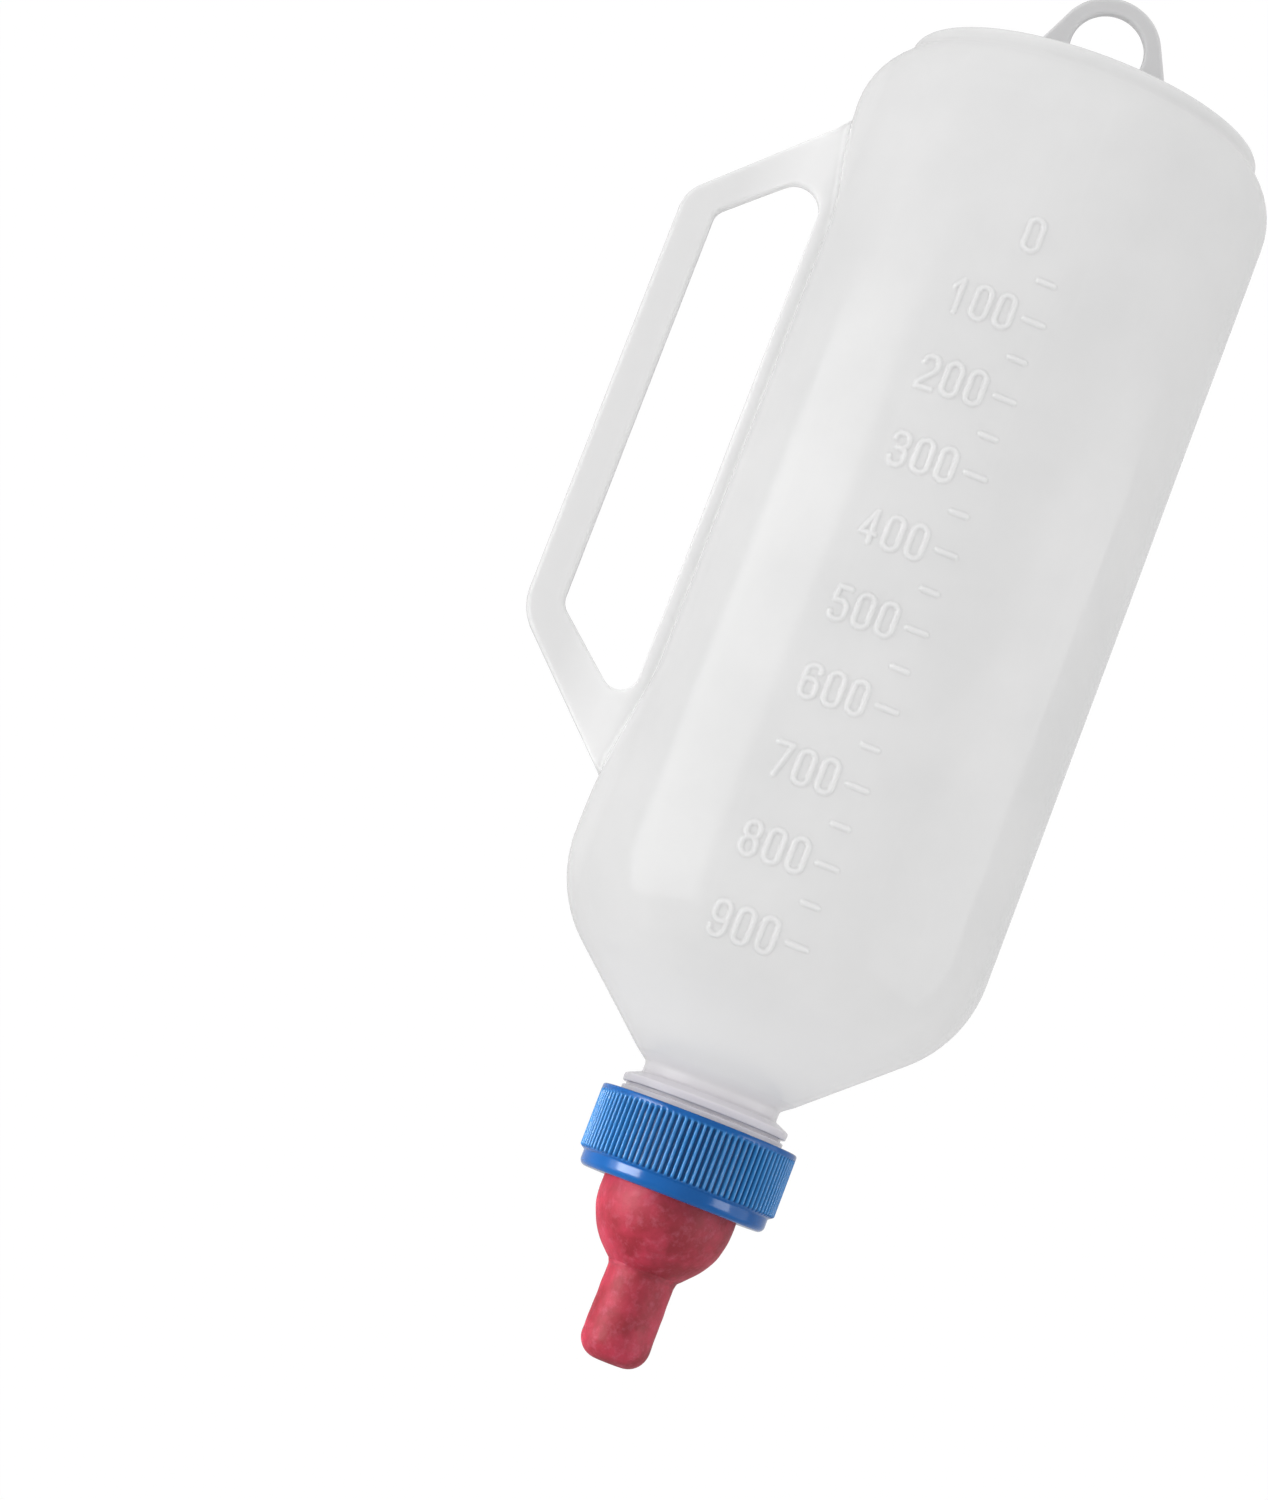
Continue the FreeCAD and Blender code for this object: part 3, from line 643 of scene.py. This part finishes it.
def bottle_plastic():
    """Natural polyethylene: milky, satin, with faint clouds, flow streaks and handling scuffs.

    The neck finish is greyer than the thin wall. The loop is greyer too, partly as thicker plastic and
    partly as painted shade.
    The cone above the neck is paler. The handle's plate is paler as painted light, for light shining
    through the thin plate."""
    material, nodes, shader, where = start_material("natural_polyethylene")
    clouds = nodes.noise(where, 28.0, 4.0, 0.55)
    tint = nodes.blend(nodes.spread(clouds, 0.35, 0.7, 0, 1), (0.755, 0.757, 0.757), (0.80, 0.80, 0.80))
    stretched = nodes.add("ShaderNodeMapping", {"Vector": where, "Scale": (260.0, 260.0, 14.0)})
    streaks = nodes.noise(stretched.outputs["Vector"], 1.0, 5.0, 0.6)
    tint = nodes.blend(nodes.spread(streaks, 0.58, 0.75, 0, 0.12), tint, (0.84, 0.84, 0.84))
    spot = nodes.add("ShaderNodeSeparateXYZ", {"Vector": where})
    regions = (
        ("Z", level(199.1), level(213.1), (0.84, 0.84, 0.84)),       # the cone
        ("Z", level(218.9), level(224.6), (0.71, 0.69, 0.725)),      # the neck finish
        # the loop's darker grey is partly thicker plastic and partly painted shade
        ("Z", level(0.1), level(-2.9), (0.64, 0.64, 0.645)),         # the loop
        # painted light: the handle's root and grip are paler, for light shining through the thin plate
        ("X", -40 * MM, -46 * MM, (0.90, 0.90, 0.90)),               # the handle's root
        ("X", -50 * MM, -62 * MM, (0.80, 0.80, 0.80)),               # the grip
    )
    for axis, start, end, colour in regions:
        tint = nodes.blend(nodes.spread(spot.outputs[axis], start, end, 0, 1), tint, colour)
    nodes.tree.links.new(tint, shader.inputs["Base Color"])
    scuffs = nodes.noise(where, 190.0, 6.0, 0.7)
    rough = nodes.spread(scuffs, 0.3, 0.75, 0.10, 0.17)
    nodes.tree.links.new(rough, shader.inputs["Roughness"])
    shader.inputs["Subsurface Weight"].default_value = 1.0
    shader.inputs["Subsurface Radius"].default_value = (1.0, 1.0, 1.0)
    shader.inputs["Subsurface Scale"].default_value = 0.001
    shader.inputs["IOR"].default_value = 1.5
    shader.inputs["Specular IOR Level"].default_value = 0.25
    skin_height = nodes.sum(nodes.noise(where, 620.0, 2.0), nodes.noise(where, 90.0, 2.0), 3.0)
    link_bump(nodes, shader, skin_height, 0.2, 0.00003)
    return material


def cap_plastic():
    """Blue moulded polypropylene, semi-gloss and a little worn. The ribs are paler than the plain rims,
    a painted highlight, and their grooves darker, a painted shade."""
    material, nodes, shader, where = start_material("blue_polypropylene")
    clouds = nodes.spread(nodes.noise(where, 120.0, 4.0), 0.3, 0.75, 0, 1)
    plain = nodes.blend(clouds, (0.002, 0.082, 0.30), (0.003, 0.10, 0.35))
    # painted highlight: the ribs' colour is paler than the rims, for light on their crests
    ribs = nodes.blend(clouds, (0.023, 0.190, 0.49), (0.032, 0.225, 0.55))
    flat = nodes.add("ShaderNodeVectorMath", {0: where, 1: (1.0, 1.0, 0.0)}, operation="MULTIPLY")
    radius = nodes.add("ShaderNodeVectorMath", {0: flat.outputs["Vector"]}, operation="LENGTH")
    # painted shade: the grooves between the ribs, found by their radius, are coloured darker
    edges = [(CAP_RADIUS - depth) * MM for depth in (0.9, 0.1)]
    groove = nodes.spread(radius.outputs["Value"], *edges, 1.0, 0.0)
    ribs = nodes.blend(groove, ribs, (0.0005, 0.024, 0.11))
    height = nodes.add("ShaderNodeSeparateXYZ", {"Vector": where}).outputs["Z"]
    below_rim = nodes.spread(height, level(229.5), level(230.1), 0.0, 1.0)
    above_lip = nodes.spread(height, level(242.3), level(241.7), 0.0, 1.0)
    belt = nodes.add("ShaderNodeMath", {0: below_rim, 1: above_lip}, operation="MULTIPLY").outputs[0]
    tint = nodes.blend(belt, plain, ribs)
    wear = nodes.noise(where, 700.0, 3.0, 0.6)
    tint = nodes.blend(nodes.spread(wear, 0.6, 0.85, 0, 0.12), tint, (0.04, 0.27, 0.56))
    nodes.tree.links.new(tint, shader.inputs["Base Color"])
    rough = nodes.spread(nodes.noise(where, 500.0, 5.0, 0.65), 0.3, 0.7, 0.12, 0.20)
    nodes.tree.links.new(rough, shader.inputs["Roughness"])
    shader.inputs["IOR"].default_value = 1.5
    shader.inputs["Specular IOR Level"].default_value = 0.25
    link_bump(nodes, shader, nodes.noise(where, 1400.0, 3.0), 0.1, 0.00003)
    return material


def teat_rubber():
    """Dusty red rubber: matt and mottled, paler where the bloom of powder lies. The bloom's pale pink
    also serves as a painted sheen.
    """
    material, nodes, shader, where = start_material("red_rubber")
    patches = nodes.noise(where, 95.0, 6.0, 0.6)
    patches = nodes.spread(patches, 0.41, 0.60, 0, 1)
    tint = nodes.blend(patches, (0.24, 0.003, 0.015), (0.41, 0.018, 0.050))
    # pale pink patches: real powder bloom on the rubber, and also a painted sheen
    dust_and_sheen = nodes.noise(where, 420.0, 6.0, 0.7)
    tint = nodes.blend(nodes.spread(dust_and_sheen, 0.5, 0.8, 0, 0.38), tint, (0.62, 0.18, 0.26))
    nodes.tree.links.new(tint, shader.inputs["Base Color"])
    rough = nodes.spread(nodes.noise(where, 420.0, 5.0, 0.6), 0.3, 0.7, 0.5, 0.68)
    nodes.tree.links.new(rough, shader.inputs["Roughness"])
    shader.inputs["Specular IOR Level"].default_value = 0.45
    shader.inputs["Subsurface Weight"].default_value = 0.15
    shader.inputs["Subsurface Radius"].default_value = (1.0, 0.3, 0.3)
    shader.inputs["Subsurface Scale"].default_value = 0.0015
    grain = nodes.sum(nodes.noise(where, 1500.0, 4.0, 0.6), nodes.noise(where, 260.0, 3.0), 1.5)
    link_bump(nodes, shader, grain, 0.35, 0.00015)
    return material


# ---------------------------------------------------------------- stage

def studio_material(name, colour, glow):
    """Plain matt white. glow is how strongly it shines by itself."""
    material = bpy.data.materials.new(name)
    material.use_nodes = True
    shader = material.node_tree.nodes["Principled BSDF"]
    shader.inputs["Base Color"].default_value = (colour, colour, colour, 1)
    shader.inputs["Roughness"].default_value = 0.9
    shader.inputs["Specular IOR Level"].default_value = 0.1
    shader.inputs["Emission Color"].default_value = (1, 1, 1, 1)
    shader.inputs["Emission Strength"].default_value = glow
    return material


def stage_piece(name, points, faces, material):
    """A part of the studio. Nothing on the bottle mirrors it."""
    mesh = bpy.data.meshes.new(name)
    mesh.from_pydata(np.asarray(points).tolist(), [], faces)
    mesh.shade_smooth()
    mesh.materials.append(material)
    piece = bpy.data.objects.new(name, mesh)
    bpy.context.scene.collection.objects.link(piece)
    piece.visible_glossy = False
    return piece


def make_stage():
    """A round white floor that curves up into a backdrop on all sides, seen by the camera alone, and the
    white board under and behind the bottle that bounces light on it, unseen by the camera."""
    floor, radius, ceiling, middle = -1.6, 3.5, 3.2, 0.4
    profile = rounded_path([(middle, floor), (radius, floor, 1.2), (radius, ceiling, 1.5),
                            (middle, ceiling)], even(0.4))
    turns = np.radians(np.arange(0, 360, 5.0))
    rings = np.array([[(r * math.sin(a), -r * math.cos(a), z) for a in turns] for r, z in profile])
    points, faces = skin(rings, (0, 0, floor), (0, 0, ceiling))
    surround = stage_piece("studio_floor", points, faces, studio_material("studio_white", 0.0, 1.0))
    surround.visible_diffuse = False
    surround.visible_transmission = False
    surround.visible_shadow = False

    below, back, bend, wide = -0.46, 2.4, 0.9, 6.0
    profile = rounded_path([(-5.0, below), (back, below, bend), (back, 4.0)], even(0.5))
    points = [(side * wide, y, z) for y, z in profile for side in (-1, 1)]
    faces = [[2 * i, 2 * i + 1, 2 * i + 3, 2 * i + 2] for i in range(len(profile) - 1)]
    board = stage_piece("bounce_board", points, faces, studio_material("board_white", 0.93, 0.0))
    board.visible_camera = False


def hang_lamp(name, light, azimuth, distance, height, aim):
    """A lamp at an azimuth, a distance from the bottle's axis and a height, turned to its aim."""
    lamp = bpy.data.objects.new(name, light)
    a = math.radians(azimuth)
    lamp.location = (distance * math.sin(a), -distance * math.cos(a), height)
    lamp.rotation_euler = (Vector(aim) - lamp.location).to_track_quat("-Z", "Y").to_euler()
    lamp.visible_camera = False
    bpy.context.scene.collection.objects.link(lamp)
    return lamp


def snoot(name, azimuth, spread, watts, height):
    """A narrow spot on the cap and teat, level with the height that it lights."""
    light = bpy.data.lights.new(name, "SPOT")
    light.energy = watts
    light.spot_size = math.radians(spread)
    light.spot_blend = 0.5
    light.shadow_soft_size = 0.05
    lamp = hang_lamp(name, light, azimuth, SNOOT_DISTANCE, height, (0, 0, height))
    lamp.visible_glossy = False
    return lamp


def soft_box(name, azimuth, distance, height, size, radiance, kind, fade=None, aim=(0, 0, -0.15)):
    """A rectangular light that faces the bottle. fade = (low, high) dims it across its width.

    A glossy one makes the soft reflections, and a diffuse one lights without a reflection of its own."""
    light = bpy.data.lights.new(name, "AREA")
    light.shape = "RECTANGLE"
    light.size, light.size_y = size
    light.energy = radiance * math.pi * size[0] * size[1]
    lamp = hang_lamp(name, light, azimuth, distance, height, aim)
    lamp.visible_diffuse = kind == "diffuse"
    lamp.visible_glossy = kind == "glossy"
    if fade:
        light.use_nodes = True
        nodes = Nodes(light.node_tree)
        spot = nodes.add("ShaderNodeNewGeometry").outputs["Parametric"]
        across = nodes.add("ShaderNodeSeparateXYZ", {"Vector": spot}).outputs["X"]
        share = nodes.spread(across, fade[0], fade[1], 0.0, 1.0)
        light.node_tree.links.new(share, light.node_tree.nodes["Emission"].inputs["Strength"])
    return lamp


def make_light(closure):
    """The studio. The glints, which make the soft marks on the cap's lip, and the snoots shine only on
    the cap and teat."""
    world = bpy.data.worlds.new("studio_world")
    world.use_nodes = True
    world.node_tree.nodes["Background"].inputs["Color"].default_value = (0.99, 0.985, 0.985, 1)
    world.node_tree.nodes["Background"].inputs["Strength"].default_value = 0.70
    bpy.context.scene.world = world
    ahead = (0, 0, BOX_HEIGHT)
    soft_box("left_box", -65, 0.9, BOX_HEIGHT, (0.8, 0.8), 2.7, "glossy", fade=(1.0, 0.85), aim=ahead)
    soft_box("right_box", 77, 0.9, BOX_HEIGHT, (0.9, 0.8), 1.3, "glossy", fade=(0.0, 0.3), aim=ahead)
    lit = bpy.data.collections.new("closure")
    for piece in closure:
        lit.objects.link(piece)
    glints = (("left_glint", -60, 0.5, 24.0), ("right_glint", 60, 0.36, 9.0))
    for name, azimuth, width, radiance in glints:
        lamp = soft_box(name, azimuth, 0.9, GLINT_HEIGHT, (width, 0.13), radiance, "glossy",
                        aim=(0, 0, GLINT_HEIGHT))
        lamp.light_linking.receiver_collection = lit
    soft_box("left_key", -68, 1.2, 0.0, (0.6, 0.7), 1.45, "diffuse")
    soft_box("right_key", 68, 1.2, 0.0, (0.6, 0.7), 0.78, "diffuse")
    soft_box("front_fill", -15, 1.7, 0.2, (1.3, 1.3), 0.98, "diffuse")
    soft_box("top_fill", 0, 0.3, 1.2, (1.0, 1.0), 0.6, "diffuse")
    soft_box("backdrop_wash", 180, 0.9, 1.3, (2.4, 0.8), 2.5, "diffuse", aim=(0, 2.4, 0.0))
    for lamp in (snoot("left_snoot", -82, 7.5, 33.0, -0.275),
                 snoot("right_snoot", 84, 4.6, 3.5, -0.283)):
        lamp.light_linking.receiver_collection = lit
    bpy.context.scene.view_settings.view_transform = "Standard"


def make_camera():
    """The photograph's view: near, level with the teat, tilted up and rolled."""
    camera = bpy.data.cameras.new("camera")
    camera.sensor_width = 36.0
    camera.lens = 95.2
    camera.clip_start, camera.clip_end = 0.01, 50.0
    holder = bpy.data.objects.new("camera", camera)
    holder.location = CAMERA_PLACE
    holder.rotation_euler = CAMERA_TURN
    bpy.context.scene.collection.objects.link(holder)
    bpy.context.scene.camera = holder


plastic = bottle_plastic()
make_bottle(plastic)
make_handle(plastic)
make_loop(plastic)
cap = make_cap(cap_plastic())
teat = make_teat(teat_rubber())
make_stage()
make_light([cap, teat])
make_camera()
